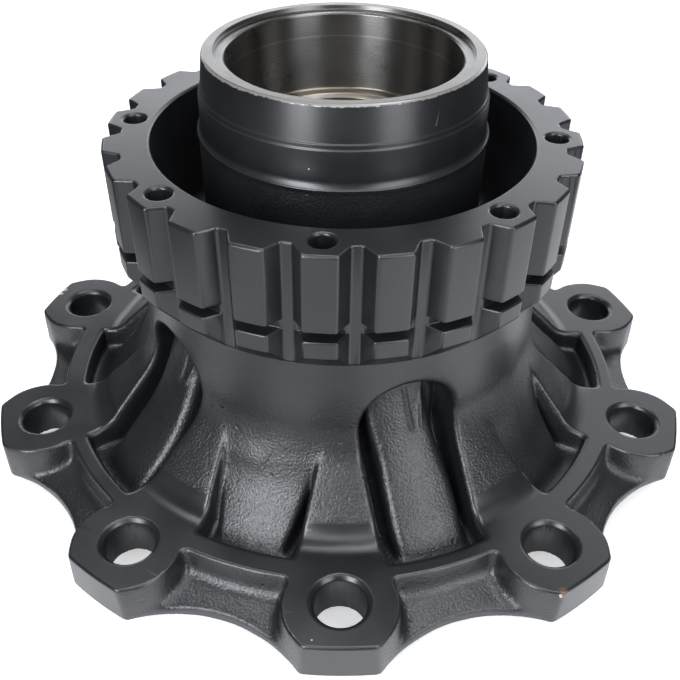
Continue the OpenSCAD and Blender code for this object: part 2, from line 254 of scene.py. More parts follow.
class HubShape:
    """Distance to the skin of the casting, as a function of radius, angle and height.

    Angles are measured from the first lug, which points to -Y, and grow to the right.
    """

    def __init__(self, sizes):
        self.s = sizes

        # Heights, each named after the face that lies there
        self.z_flange = sizes.spigot_height
        self.z_face = sizes.spigot_height + sizes.flange_thickness
        self.z_rim = self.z_face + sizes.neck_height
        self.z_ring = sizes.ring_height
        self.z_shelf = self.z_face - 12 * MM
        self.hollow_floor = self.z_face + 80 * MM

        # Radius inside which the ring is turned with the hollow
        self.hollow_edge = 94.4 * MM

        # Height at which the flange's sectors end and the ring's sectors start
        self.z_join = self.z_face + 70 * MM

        # Drum, and the corner from which the spokes fall at 45 degrees
        self.drum_top = 102.3 * MM
        self.drum_foot = 104.5 * MM
        self.tooth_foot = self.z_face + 93 * MM
        self.drum_end = self.tooth_foot - (sizes.tooth_radius - self.drum_top)
        self.corner = (self.drum_foot + 1 * MM, self.z_face + 32.7 * MM)
        self.slope_sum = sum(self.corner)

        # Rounding of a pocket's edges
        self.edge = 3 * MM

        # Patterns round the axle
        self.pitch = 2 * math.pi / sizes.stud_count
        self.tooth_turn = -4.8 * DEG
        self.tooth_pitch = 2 * math.pi / sizes.tooth_count
        self.screw_count = MOUNTS["ring_screws"]["dims"]["count"]
        self.screw_depth = 26 * MM
        self.bell_points = self.bell_section()
        self.ring_points = self.ring_section()

    def bell_section(self):
        """Half section of flange, spokes and drum."""
        s = self.s
        overlap = 20 * MM
        inner = 60 * MM
        foot_radius, foot_height = 16 * MM, 7 * MM
        foot = (self.slope_sum - self.z_face - foot_height, self.z_face + foot_height)
        reach = math.sqrt(foot_radius ** 2 - (foot_radius - foot_height) ** 2)
        middle = (foot[0] + reach, self.z_face + foot_radius)
        start = math.atan2(foot[1] - middle[1], foot[0] - middle[0]) / DEG
        drum_lean = math.atan2(self.drum_foot - self.drum_top, self.drum_end - self.corner[1])
        blend = 30 * MM
        tangent = blend * math.tan((45 * DEG - drum_lean) / 2)
        on_slope = (self.corner[0] + tangent / math.sqrt(2), self.corner[1] - tangent / math.sqrt(2))
        centre = (on_slope[0] + blend / math.sqrt(2), on_slope[1] + blend / math.sqrt(2))
        fillet = arc(centre, blend, 180 + drum_lean / DEG, 225, 16)
        low_edge, high_edge = 1 * MM, 0.6 * MM
        return [
            (inner, -overlap),
            (s.spigot_radius, -overlap),
            (s.spigot_radius, self.z_flange),
            (s.flange_radius - low_edge, self.z_flange),
            (s.flange_radius, self.z_flange + low_edge),
            (s.flange_radius, self.z_face - high_edge),
            (s.flange_radius - high_edge, self.z_face),
            *arc(middle, foot_radius, 270, start % 360, 20),
            *fillet[::-1],
            (self.drum_top, self.drum_end),
            (self.drum_top, self.z_ring),
            (inner, self.z_ring),
        ]

    def ring_section(self):
        """Half section of the toothed ring, with the slot for its clip."""
        tip, root = self.s.tooth_radius, self.s.root_radius
        inner = 80 * MM
        slot_low, slot_high = self.z_face + 102.05 * MM, self.z_face + 106.55 * MM
        slot_root = root + 0.6 * MM
        slot_edge, top_edge = 0.5 * MM, 0.7 * MM
        return [
            (inner, self.z_flange),
            (self.drum_foot, self.corner[1]),
            (self.drum_top, self.drum_end),
            (root, self.tooth_foot - (tip - root) - 1.6 * MM),
            (tip, self.tooth_foot),
            (tip, slot_low - slot_edge),
            (tip - slot_edge, slot_low),
            (slot_root, slot_low),
            (slot_root, slot_high),
            (tip - slot_edge, slot_high),
            (tip, slot_high + slot_edge),
            (tip, self.z_ring - top_edge),
            (tip - top_edge, self.z_ring),
            (inner, self.z_ring),
        ]

    def depth(self, along, z):
        """Depth below the plane of the spokes' tops."""
        return (self.slope_sum - along - z) / math.sqrt(2)

    def ended(self, pocket, r, z, wall_radius):
        """A pocket that ends at the height of the shelf and at an outer wall."""
        end = smooth_max(self.z_shelf - z, r - wall_radius, self.edge)
        return smooth_max(pocket, end, self.edge)

    def shallow_pocket(self, r, angle, z):
        """Pocket whose floor carries the drum on, with a groove along each spoke.

        The grooves widen downwards. The left one has a gentle side, and a fine ridge of
        flash at the border of the floor.
        """
        along, across = r * np.cos(angle), np.abs(r * np.sin(angle))
        left = 1 - ramp(r * np.sin(angle), -4 * MM, 4 * MM)
        above = z - self.z_face
        half = self.s.pocket_width / 2
        floor_depth = 7.6 * MM
        slope = (r + z - self.slope_sum + floor_depth * math.sqrt(2)) / math.sqrt(2)
        floor = smooth_min(r - self.corner[0], slope, 24 * MM)
        narrowest = 15.8 * MM
        floor_half = np.clip(narrowest + 0.25 * (above + 8 * MM), narrowest, half + 6 * MM)
        floor_half = floor_half + 2.5 * MM * left
        ribbed = smooth_max(floor, across - floor_half + 0.25 * floor, 3 * MM)
        steepness = 2.2 - 1.7 * left
        groove = floor + steepness * np.clip(half - floor_half + 2 * MM, 0, 12 * MM)
        solid = smooth_min(ribbed, groove, 2 * MM)
        flash = mound(across - floor_half - 1.5 * MM, 1.1 * MM) * ramp(above, 14 * MM, 22 * MM)
        solid = solid - left * 1.3 * MM * flash
        draft, top = 0.12, 45 * MM
        side = across - half + draft * self.depth(along, z)
        pocket = smooth_max(-solid, side, self.edge)
        pocket = self.ended(pocket, r, z, self.s.face_radius - 11.2 * MM)
        return smooth_max(pocket, above - top, self.edge)

    def deep_pocket(self, r, angle, z):
        """Pocket with an arched top in the drum, and a bar down its middle with a vee on each side."""
        along, across = r * np.cos(angle), r * np.sin(angle)
        above = z - self.z_face
        half = self.s.pocket_width / 2
        arch_mid = 41 * MM
        arch = np.hypot(across, np.maximum(above - arch_mid, 0)) - half
        arch = np.where(along > 0, arch, half)
        vee_middle, vee_depth = 19.5 * MM, 2.5 * MM
        vee = np.maximum(vee_depth - 1.2 * np.abs(np.abs(across) - vee_middle), -2 * MM)
        back_radius, floor_depth = 90 * MM, 19 * MM
        back = back_radius - r - vee
        floor = self.depth(along, z) - floor_depth - vee
        pocket = smooth_max(arch, smooth_max(back, floor, 6 * MM), self.edge)
        pocket = self.ended(pocket, r, z, self.s.face_radius - 8.7 * MM)
        return smooth_max(pocket, -self.pocket_bar(r, across, z), self.edge)

    def pocket_bar(self, r, across, z):
        """Bar that stands in the middle of a deep pocket, crowned, wider at its foot."""
        above = z - self.z_face
        half_width = 15.4 * MM
        bar_depth = 5 * MM
        slope = (r + z - self.slope_sum + bar_depth * math.sqrt(2)) / math.sqrt(2)
        knee, knee_radius, upright_draft = 34 * MM, 97 * MM, 0.22
        upright = r - knee_radius + upright_draft * (above - knee)
        face = smooth_min(upright, slope, 20 * MM) - 0.3 * MM
        lean = 4.5 * MM * ramp(above, 18 * MM, 58 * MM)
        spread = 4.5 * MM * ramp(knee - above, 0, knee)
        off_middle = across + 0.8 * MM + lean
        off_middle = np.where(off_middle > 0, off_middle - spread, -off_middle)
        crown, crown_half = 0.8 * MM, 15 * MM
        face = face + crown * (np.maximum(off_middle, 0) / crown_half) ** 2
        ridge_top = 54 * MM
        for place, slant in ((0.5 * MM, 0.1), (9.5 * MM, -0.12)):
            line = across - place - slant * (ridge_top - above)
            ridge = mound(line, 0.9 * MM) * ramp(above, 33 * MM, 38 * MM)
            face = face - 0.9 * MM * ridge * ramp(57 * MM - above, 0, 3 * MM)
        return smooth_max(face, off_middle - half_width + 0.04 * face, 5 * MM)

    def shelf(self, r, angle, z):
        """Space above the lowered cast shelf between two lugs."""
        s = self.s
        below = self.z_face - z
        wall_draft = 1.6 / 12
        wall = s.face_radius + wall_draft * below - r
        fall = 4.5 / 18.3 * (r - s.face_radius)
        floor = self.z_shelf - fall - z
        room = smooth_max(wall, floor, 5 * MM)
        lug = wrapped(angle, self.pitch)
        boss_middle = s.stud_circle / 2 + 1.8 * MM
        boss_radius = 26.3 * MM + 1.8 * MM * below / s.flange_thickness
        boss = np.hypot(r * np.cos(lug) - boss_middle, r * np.sin(lug)) - boss_radius
        return smooth_max(room, -boss, 5 * MM)

    def from_stud(self, r, angle):
        """Distance from the axis of the nearest stud."""
        lug = wrapped(angle, self.pitch)
        return np.hypot(r * np.cos(lug) - self.s.stud_circle / 2, r * np.sin(lug))

    def flange_field(self, r, angle, z):
        """Field of the flange with its lugs, and of the bell with its pockets."""
        s = self.s
        body = section_field(self.bell_points, r, z)
        half_pitch = self.pitch / 2
        shallow = wrapped(angle + half_pitch, 2 * self.pitch)
        deep = wrapped(angle - half_pitch, 2 * self.pitch)
        body = smooth_max(body, -self.shallow_pocket(r, shallow, z), 2.5 * MM)
        body = smooth_max(body, -self.deep_pocket(r, deep, z), 3.5 * MM)
        body = smooth_max(body, -self.shelf(r, angle, z), 1.2 * MM)
        between = wrapped(angle - half_pitch, self.pitch)
        scallop_middle = s.scallop_reach + s.scallop_radius
        from_scallop = np.hypot(r * np.cos(between) - scallop_middle, r * np.sin(between))
        body = smooth_max(body, s.scallop_radius - from_scallop, 1.6 * MM)
        from_stud = self.from_stud(r, angle)
        body = smooth_max(body, s.stud_hole - from_stud, 0.5 * MM)
        chamfer_width, chamfer_reach = 2 * MM, 4 * MM
        chamfer = (s.stud_hole + chamfer_width - from_stud + z - self.z_face) / math.sqrt(2)
        chamfer = np.minimum(chamfer, s.stud_hole + chamfer_reach - from_stud)
        return smooth_max(body, chamfer, 0.5 * MM)

    def ring_field(self, r, angle, z):
        """Field of the toothed ring with its screw holes."""
        s = self.s
        body = section_field(self.ring_points, r, z)
        from_first = angle - self.tooth_turn
        gap_angle = wrapped(from_first - self.tooth_pitch / 2, self.tooth_pitch)
        along, across = r * np.cos(gap_angle), np.abs(r * np.sin(gap_angle))
        half_tip = 7.15 * MM
        half_tooth = math.asin(half_tip / s.tooth_radius)
        mouth = s.tooth_radius * math.sin(self.tooth_pitch / 2 - half_tooth)
        half_gap = 2.4 * MM
        slope = (mouth - half_gap) / (s.tooth_radius - s.root_radius)
        side = (across - half_gap - slope * (along - s.root_radius)) / math.hypot(1, slope)
        gap = smooth_max(side, s.root_radius - along, 0.8 * MM)
        body = smooth_max(body, -gap, 0.9 * MM)
        screw = wrapped(from_first, 2 * math.pi / self.screw_count)
        circle = mount_size("ring_screws", "pcd_mm") / 2
        hole = mount_size("ring_screws", "hole_r_mm")
        from_screw = np.hypot(r * np.cos(screw) - circle, r * np.sin(screw))
        below = self.z_ring - self.screw_depth - z
        body = smooth_max(body, -np.maximum(from_screw - hole, below), 0.4 * MM)
        chamfer = (hole + 1 * MM - from_screw + z - self.z_ring) / math.sqrt(2)
        return smooth_max(body, chamfer, 0.4 * MM)

    def turned(self, r, z):
        """Whether a point lies on the part of the skin that is turned from one half section."""
        neck_and_bores = r < 87.5 * MM
        underside = (z < 8 * MM) | ((z < 24 * MM) & (r < 110 * MM))
        hollow = (r < self.hollow_edge) & (z > self.z_join + 1 * MM)
        return neck_and_bores | underside | hollow

    def turned_section(self, ring_inner, spigot_top):
        """Half section from the top of the ring over neck and bores to the side of the spigot."""
        s = self.s
        edge, fine = 0.5 * MM, 0.3 * MM
        neck = 69.4 * MM
        rows, row = 23, 2.6 * MM
        flare = arc((73.3 * MM, self.z_rim - 32.8 * MM), 5 * MM, 232, 180, 6)
        seal = 60.1 * MM
        seal_floor = self.z_rim - 2.2 * MM
        bore = mount_size("bearing_inboard", "r_mm")
        bore_top = seal_floor - 1 * MM
        shoulder = bore_top - mount_size("bearing_inboard", "length_mm")
        way = mount_size("spindle_way", "r_mm")
        outboard = mount_size("bearing_outboard", "r_mm")
        lead = 2 * MM
        outboard_end = lead + mount_size("bearing_outboard", "length_mm")
        boss, dish = 71 * MM, 106 * MM
        dish_top = 22 * MM
        return rounded([
            (ring_inner, self.z_ring, 0),
            (93.8 * MM, self.z_ring, edge),
            (92.8 * MM, self.z_ring - 1 * MM, edge),
            (91.3 * MM, self.hollow_floor, 9.4 * MM),
            (71.3 * MM, self.hollow_floor, 9.4 * MM),
            *[(neck, self.z_rim - 41 * MM - k * row, 0) for k in reversed(range(rows))],
            (69.6 * MM, self.z_rim - 38.4 * MM, edge),
            (70.3 * MM, self.z_rim - 36.8 * MM, fine),
            *[(r, z, 0) for r, z in flare],
            (68.3 * MM, self.z_rim - 19 * MM, fine),
            (67.7 * MM, self.z_rim - 18.3 * MM, fine),
            (67.6 * MM, self.z_rim - 16.6 * MM, fine),
            (67.0 * MM, self.z_rim - 16 * MM, fine),
            (65.4 * MM, self.z_rim - 1 * MM, edge),
            (64.4 * MM, self.z_rim, edge),
            (seal, self.z_rim, fine),
            (seal, seal_floor, fine),
            (56.0 * MM, seal_floor, fine),
            (bore, bore_top, edge),
            (bore, shoulder, 1 * MM),
            (way + lead, shoulder, edge),
            (way, shoulder - lead, edge),
            (way, outboard_end, edge),
            (outboard, outboard_end, 1 * MM),
            (outboard, lead, edge),
            (outboard + lead, 0, edge),
            (boss, 0, edge),
            (boss, 17 * MM, 1 * MM),
            (76 * MM, dish_top, 3 * MM),
            (98 * MM, dish_top, 4 * MM),
            (dish, 14 * MM, 4 * MM),
            (dish, lead, edge),
            (dish + lead, 0, edge),
            (s.spigot_radius - lead, 0, edge),
            (s.spigot_radius, lead, edge),
            (s.spigot_radius, spigot_top, 0),
        ])


# Meshing


def surface_net(field, radii, angles, heights):
    """Points and quads of the skin where field is zero, on a grid round the axle.

    The last layer of cells repeats the first one of the next sector, so that turned
    copies share their border points.
    """
    grid = np.meshgrid(radii, angles, heights, indexing="ij")
    value = field(*grid)
    inside = value < 0
    cells = tuple(n - 1 for n in value.shape)
    total = np.zeros(cells + (3,))
    count = np.zeros(cells)
    crossings = []
    for axis in range(3):
        low = [slice(None)] * 3
        high = [slice(None)] * 3
        low[axis], high[axis] = slice(None, -1), slice(1, None)
        low, high = tuple(low), tuple(high)
        crossed = inside[low] != inside[high]
        crossings.append(crossed)
        gap = np.where(crossed, value[low] - value[high], 1)
        share = value[low] / gap
        point = np.stack([g[low] + share * (g[high] - g[low]) for g in grid], -1)
        point *= crossed[..., None]
        u, v = (axis + 1) % 3, (axis + 2) % 3
        for du in (0, 1):
            for dv in (0, 1):
                part = [slice(None)] * 3
                part[u] = slice(du, du + cells[u])
                part[v] = slice(dv, dv + cells[v])
                total += point[tuple(part)]
                count += crossed[tuple(part)]
    active = count > 0
    number = np.cumsum(active).reshape(cells) - 1
    points = total[active] / count[active][:, None]
    quads = []
    for axis, crossed in enumerate(crossings):
        u, v = (axis + 1) % 3, (axis + 2) % 3
        inner = [slice(None)] * 3
        inner[u] = slice(1, -1)
        inner[v] = slice(1, -1)
        index = np.argwhere(crossed[tuple(inner)])
        index[:, u] += 1
        index[:, v] += 1
        if axis == 1:
            index = index[index[:, 1] < cells[1] - 1]
        outward = inside[tuple(index.T)]
        corners = []
        for du, dv in ((1, 1), (0, 1), (0, 0), (1, 0)):
            cell = index.copy()
            cell[:, u] -= du
            cell[:, v] -= dv
            corners.append(number[tuple(cell.T)])
        quad = np.stack(corners, -1)
        quads.append(np.where(outward[:, None], quad, quad[:, ::-1]))
    return points, np.concatenate(quads)


def settle(field, points, passes=2):
    """Moves points of a net (r, angle, z) onto the skin along its slope."""
    step = 0.05 * MM
    for _ in range(passes):
        r, angle, z = points.T
        here = field(r, angle, z)
        slope_r = (field(r + step, angle, z) - here) / step
        slope_a = (field(r, angle + step / r, z) - here) / step
        slope_z = (field(r, angle, z + step) - here) / step
        steep = np.maximum(slope_r ** 2 + slope_a ** 2 + slope_z ** 2, 0.25)
        move = np.clip(-here / steep, -0.5 * MM, 0.5 * MM)
        points = np.stack([r + move * slope_r, angle + move * slope_a / r, z + move * slope_z], -1)
    return points


def around(radius, degrees, height):
    """A place round the axle, as x, y, z."""
    return radius * math.sin(degrees * DEG), -radius * math.cos(degrees * DEG), height


def to_space(points):
    """Turns (r, angle, z) into x, y, z."""
    r, angle, z = points.T
    return np.stack([r * np.sin(angle), -r * np.cos(angle), z], -1)


def new_mesh(name, points, faces):
    """A mesh from arrays of points and equal-sided faces."""
    mesh = bpy.data.meshes.new(name)
    faces = np.asarray(faces)
    mesh.vertices.add(len(points))
    mesh.vertices.foreach_set("co", np.asarray(points, np.float32).ravel())
    sides = faces.shape[1]
    mesh.loops.add(faces.size)
    mesh.loops.foreach_set("vertex_index", faces.astype(np.int32).ravel())
    mesh.polygons.add(len(faces))
    mesh.polygons.foreach_set("loop_start", np.arange(0, faces.size, sides, dtype=np.int32))
    mesh.update(calc_edges=True)
    mesh.validate()
    return mesh


def copies_tree():
    """Geometry Nodes that turn copies of a sector round the axle and join their borders."""
    tree = bpy.data.node_groups.new("Copies round the axle", "GeometryNodeTree")
    face = tree.interface
    face.new_socket(name="Geometry", in_out="INPUT", socket_type="NodeSocketGeometry")
    face.new_socket(name="Copies", in_out="INPUT", socket_type="NodeSocketInt")
    face.new_socket(name="Join Distance", in_out="INPUT", socket_type="NodeSocketFloat")
    face.new_socket(name="Material", in_out="INPUT", socket_type="NodeSocketMaterial")
    face.new_socket(name="Geometry", in_out="OUTPUT", socket_type="NodeSocketGeometry")
    nodes, links = tree.nodes, tree.links
    entry = nodes.new("NodeGroupInput")
    leave = nodes.new("NodeGroupOutput")
    points = nodes.new("GeometryNodePoints")
    index = nodes.new("GeometryNodeInputIndex")
    share = nodes.new("ShaderNodeMath")
    share.operation = "DIVIDE"
    share.inputs[0].default_value = 2 * math.pi
    turn = nodes.new("ShaderNodeMath")
    turn.operation = "MULTIPLY"
    about = nodes.new("ShaderNodeCombineXYZ")
    place = nodes.new("GeometryNodeInstanceOnPoints")
    real = nodes.new("GeometryNodeRealizeInstances")
    join = nodes.new("GeometryNodeMergeByDistance")
    paint = nodes.new("GeometryNodeSetMaterial")
    links.new(entry.outputs["Copies"], points.inputs["Count"])
    links.new(entry.outputs["Copies"], share.inputs[1])
    links.new(index.outputs[0], turn.inputs[0])
    links.new(share.outputs[0], turn.inputs[1])
    links.new(turn.outputs[0], about.inputs["Z"])
    links.new(points.outputs[0], place.inputs["Points"])
    links.new(entry.outputs["Geometry"], place.inputs["Instance"])
    links.new(about.outputs[0], place.inputs["Rotation"])
    links.new(place.outputs[0], real.inputs[0])
    links.new(real.outputs[0], join.inputs["Geometry"])
    links.new(entry.outputs["Join Distance"], join.inputs["Distance"])
    links.new(join.outputs[0], paint.inputs["Geometry"])
    links.new(entry.outputs["Material"], paint.inputs["Material"])
    links.new(paint.outputs[0], leave.inputs["Geometry"])
    return tree


def plain_mesh(obj):
    """The evaluated mesh of an object, which is then removed."""
    depsgraph = bpy.context.evaluated_depsgraph_get()
    made = bpy.data.objects.new("made", bpy.data.meshes.new_from_object(obj.evaluated_get(depsgraph)))
    mesh = made.data
    bpy.data.objects.remove(made)
    old = obj.data
    bpy.data.objects.remove(obj)
    bpy.data.meshes.remove(old)
    return mesh


def round_the_axle(name, points, quads, count, material):
    """Copies a sector count times round the axle and gives back one plain mesh."""
    obj = bpy.data.objects.new(name, new_mesh(name, points, quads))
    bpy.context.collection.objects.link(obj)
    modifier = obj.modifiers.new("Copies", "NODES")
    modifier.node_group = copies_tree()
    values = {"Copies": count, "Join Distance": 0.02 * MM, "Material": material}
    for item in modifier.node_group.interface.items_tree:
        if item.in_out == "INPUT" and item.name in values:
            modifier[item.identifier] = values[item.name]
    return plain_mesh(obj)


def revolve(section, steps):
    """Points and quads of a half section turned round the axle."""
    section = np.array(section)
    turn = np.arange(steps) * 2 * math.pi / steps
    r = np.repeat(section[:, 0], steps)
    z = np.repeat(section[:, 1], steps)
    points = to_space(np.stack([r, np.tile(turn, len(section)), z], -1))
    row, column = np.meshgrid(np.arange(len(section) - 1), np.arange(steps), indexing="ij")
    after = (column + 1) % steps
    quads = np.stack([row * steps + column, (row + 1) * steps + column,
                      (row + 1) * steps + after, row * steps + after], -1)
    return points, quads.reshape(-1, 4)


def turn_of(vert):
    """Angle of a point round the axle."""
    return math.atan2(vert.co.x, -vert.co.y)


def border_loops(bm):
    """Open borders of a mesh, each as points in order of their angle round the axle."""
    left = {v for e in bm.edges if e.is_boundary for v in e.verts}
    loops = []
    while left:
        pile = [left.pop()]
        loop = list(pile)
        while pile:
            for edge in pile.pop().link_edges:
                if edge.is_boundary:
                    for vert in edge.verts:
                        if vert in left:
                            left.remove(vert)
                            pile.append(vert)
                            loop.append(vert)
        loops.append(sorted(loop, key=turn_of))
    return loops


def zip_loops(bm, one, two):
    """Joins two borders that run round the axle with a strip of triangles."""
    angles = [[turn_of(v) for v in loop] for loop in (one, two)]
    full = 2 * math.pi
    i = j = 0
    while i < len(one) or j < len(two):
        next_one = angles[0][(i + 1) % len(one)] + full * ((i + 1) // len(one))
        next_two = angles[1][(j + 1) % len(two)] + full * ((j + 1) // len(two))
        a, b = one[i % len(one)], two[j % len(two)]
        if j >= len(two) or (i < len(one) and next_one <= next_two):
            bm.faces.new((a, b, one[(i + 1) % len(one)]))
            i += 1
        else:
            bm.faces.new((a, b, two[(j + 1) % len(two)]))
            j += 1


def loop_place(loop):
    """Mean radius and height of a border."""
    r = sum(math.hypot(v.co.x, v.co.y) for v in loop) / len(loop)
    return r, sum(v.co.z for v in loop) / len(loop)


def sector_angles(sector, columns, middle=0.0):
    """Angles of a grid over one sector, with the first column of cells of the next one."""
    return middle - sector / 2 + np.arange(columns + 2) * sector / columns


def flange_skin(shape, material):
    """Skin of the flange, the bell and the foot of the drum, from sectors of two spokes."""
    pitches = 2
    radii = np.concatenate([np.arange(86, 144, 1.15), np.arange(144, 192.8, 1.0)]) * MM
    heights = np.concatenate([np.arange(-4, 24, 1.0), np.arange(24, 92, 1.3)]) * MM + shape.z_flange
    heights = heights[heights < shape.z_join]
    angles = sector_angles(pitches * shape.pitch, 190)
    net, quads = surface_net(shape.flange_field, radii, angles, heights)
    points = to_space(settle(shape.flange_field, net))
    return round_the_axle("flange", points, quads, shape.s.stud_count // pitches, material)


def ring_skin(shape, material):
    """Skin of the toothed ring and the top of the drum, from sectors of one screw hole."""
    radii = np.arange(95, 117, 0.85) * MM
    heights = np.arange(shape.z_join, shape.z_ring + 2 * MM, 1.05 * MM)
    angles = sector_angles(2 * math.pi / shape.screw_count, 114, shape.tooth_turn)
    net, quads = surface_net(shape.ring_field, radii, angles, heights)
    points = to_space(settle(shape.ring_field, net))
    return round_the_axle("ring", points, quads, shape.screw_count, material)


def casting_mesh(shape, material):
    """The whole skin of the casting, closed, before its points are thinned out."""
    bm = bmesh.new()
    bm.from_mesh(flange_skin(shape, material))
    bm.from_mesh(ring_skin(shape, material))
    places = [(loop_place(loop), loop) for loop in border_loops(bm)]
    under = min(places, key=lambda p: p[0][1])
    drum_low = min((p for p in places if p is not under), key=lambda p: p[0][1])
    ring_top = max(places, key=lambda p: p[0][1])
    drum_high = next(p for p in places if p not in (under, drum_low, ring_top))
    section = shape.turned_section(ring_top[0][0] - 0.6 * MM, under[0][1] - 1 * MM)
    points, quads = revolve(section, TURN_STEPS)
    verts = [bm.verts.new(p) for p in points]
    for quad in quads:
        bm.faces.new([verts[i] for i in quad])
    zip_loops(bm, drum_low[1], drum_high[1])
    zip_loops(bm, ring_top[1], sorted(verts[:TURN_STEPS], key=turn_of))
    zip_loops(bm, under[1], sorted(verts[-TURN_STEPS:], key=turn_of))
    bmesh.ops.recalc_face_normals(bm, faces=bm.faces)
    if any(not edge.is_manifold for edge in bm.edges):
        raise RuntimeError("the skin of the casting isn't closed")
    mesh = bpy.data.meshes.new("hub_casting")
    bm.to_mesh(mesh)
    bm.free()
    return mesh


def thinned(mesh, triangles, shape):
    """The mesh with fewer points where the skin is nearly flat, apart from what is turned."""
    mesh.calc_loop_triangles()
    obj = bpy.data.objects.new("thinning", mesh)
    bpy.context.collection.objects.link(obj)
    group = obj.vertex_groups.new(name="free")
    points = read_points(mesh)
    r, z = np.hypot(points[:, 0], points[:, 1]), points[:, 2]
    group.add(np.flatnonzero(~shape.turned(r, z)).tolist(), 1.0, "REPLACE")
    thin = obj.modifiers.new("Thin", "DECIMATE")
    thin.ratio = triangles / len(mesh.loop_triangles)
    thin.vertex_group = group.name
    return plain_mesh(obj)


def read_points(mesh, data="vertices"):
    """Points or normals of a mesh as an array."""
    things = getattr(mesh, data)
    values = np.empty(len(things) * 3, np.float32)
    things.foreach_get("vector" if data.endswith("normals") else "co", values)
    return values.reshape(-1, 3).astype(float)


def read_numbers(things, name):
    """One whole number from each of a mesh's things, as an array."""
    numbers = np.empty(len(things), np.int32)
    things.foreach_get(name, numbers)
    return numbers


def finish_masks(shape, points, normals):
    """Share of rough cast skin and of bare metal at each point."""
    s = shape.s
    r = np.hypot(points[:, 0], points[:, 1])
    angle = np.arctan2(points[:, 0], -points[:, 1])
    z = points[:, 2]
    above = z - shape.z_face
    level = ramp(normals[:, 2], 0.97, 0.99)
    turned_face = level * ramp(above, -1.0 * MM, -0.4 * MM) * (r > 140 * MM)
    turned_lug = ramp(r, s.flange_radius - 1.2 * MM, s.flange_radius - 0.6 * MM)
    past_slope = r + z - shape.slope_sum
    foot = (above < 7.4 * MM) & (above > -0.6 * MM) & (past_slope > -1.2 * MM)
    from_stud = shape.from_stud(r, angle)
    stud = 1 - ramp(from_stud, s.stud_hole + 2.2 * MM, s.stud_hole + 2.8 * MM)
    drum = ramp(above, 40 * MM, 62 * MM) * ramp(r, 100 * MM, 101.5 * MM)
    ring = (z > shape.z_join + 1 * MM) & (r > 89 * MM)
    seats = (z > shape.z_rim - 37 * MM) & (r < 80 * MM)
    bores = r < 62 * MM
    under = z < shape.z_flange + 0.5 * MM
    cast = 1 - 0.75 * drum
    for mask in (turned_face, turned_lug, foot, stud, ring, seats, bores, under):
        cast = np.minimum(cast, 1 - mask)
    rim_top = (z > shape.z_rim - 0.45 * MM) & (r < 66 * MM)
    bare = np.where(rim_top | (r < 63.9 * MM), 1.0, 0.0)
    return cast, bare


def roughen(mesh, shape):
    """Lets the rough cast skin wander, in broad swells with a finer grain on them."""
    points = read_points(mesh)
    normals = read_points(mesh, data="vertex_normals")
    cast = finish_masks(shape, points, normals)[0]
    move = np.zeros(len(points))
    for i in np.flatnonzero(cast > 0.1):
        place = Vector(points[i])
        swell = noise.noise(place / (11 * MM))
        grain = noise.noise(place / (3.6 * MM) + Vector((7, 3, 5)))
        move[i] = swell + 0.28 * grain
    points += normals * (move * shape.s.cast_unevenness * ramp(cast, 0.1, 0.9))[:, None]
    mesh.vertices.foreach_set("co", points.astype(np.float32).ravel())
    mesh.update()


def keep_masks(mesh, shape):
    """Keeps the share of cast skin as an attribute and gives bare metal its own material slot."""
    cast, bare = finish_masks(shape, read_points(mesh), read_points(mesh, data="vertex_normals"))
    layer = mesh.attributes.new("cast", "FLOAT", "POINT")
    layer.data.foreach_set("value", cast.astype(np.float32))
    for face in mesh.polygons:
        face.material_index = int(all(bare[v] > 0.5 for v in face.vertices))


def slope_of(field, r, angle, z):
    """Unit slope of a field as x, y, z."""
    step = 0.08 * MM
    in_r = field(r + step, angle, z) - field(r - step, angle, z)
    in_a = field(r, angle + step / r, z) - field(r, angle - step / r, z)
    in_z = field(r, angle, z + step) - field(r, angle, z - step)
    slope = np.stack([in_r * np.sin(angle) + in_a * np.cos(angle),
                      -in_r * np.cos(angle) + in_a * np.sin(angle), in_z], -1)
    return slope / np.maximum(np.linalg.norm(slope, axis=1), 1e-12)[:, None]


def exact_slopes(shape, r, angle, z):
    """Unit slope at each point of the field that its part of the skin was made from."""
    turned = shape.turned(r, z)
    ring = ~turned & (z > shape.z_join)
    section = shape.turned_section(shape.hollow_edge, 7.5 * MM)
    fields = (
        (turned, lambda r, angle, z: section_field(section, r, z)),
        (ring, shape.ring_field),
        (~turned & ~ring, shape.flange_field),
    )
    slopes = np.zeros((len(r), 3))
    for part, field in fields:
        slopes[part] = slope_of(field, r[part], angle[part], z[part])
    return slopes


def exact_shading(mesh, shape):
    """Smooth shading that follows the turned and planed faces exactly up to their edges."""
    points = read_points(mesh)
    normals = read_points(mesh, data="vertex_normals")
    cast = finish_masks(shape, points, normals)[0]
    r = np.hypot(points[:, 0], points[:, 1])
    angle = np.arctan2(points[:, 0], -points[:, 1])
    exact = exact_slopes(shape, r, angle, points[:, 2])
    agree = ramp((exact * normals).sum(1), 0.3, 0.6) * (1 - ramp(cast, 0.05, 0.6))
    exact = normals + (exact - normals) * agree[:, None]
    exact /= np.linalg.norm(exact, axis=1)[:, None]

    corner_point = read_numbers(mesh.loops, "vertex_index")
    sides = read_numbers(mesh.polygons, "loop_total")
    corner_face = np.repeat(np.arange(len(sides)), sides)
    face_normals = read_points(mesh, data="polygon_normals")[corner_face]
    level = (np.abs(face_normals[:, 2]) > LEVEL_FACE) & (cast[corner_point] < 0.05)
    corners = np.where(level[:, None], face_normals, exact[corner_point])
    mesh.shade_smooth()
    mesh.normals_split_custom_set(corners.tolist())


# Finishes


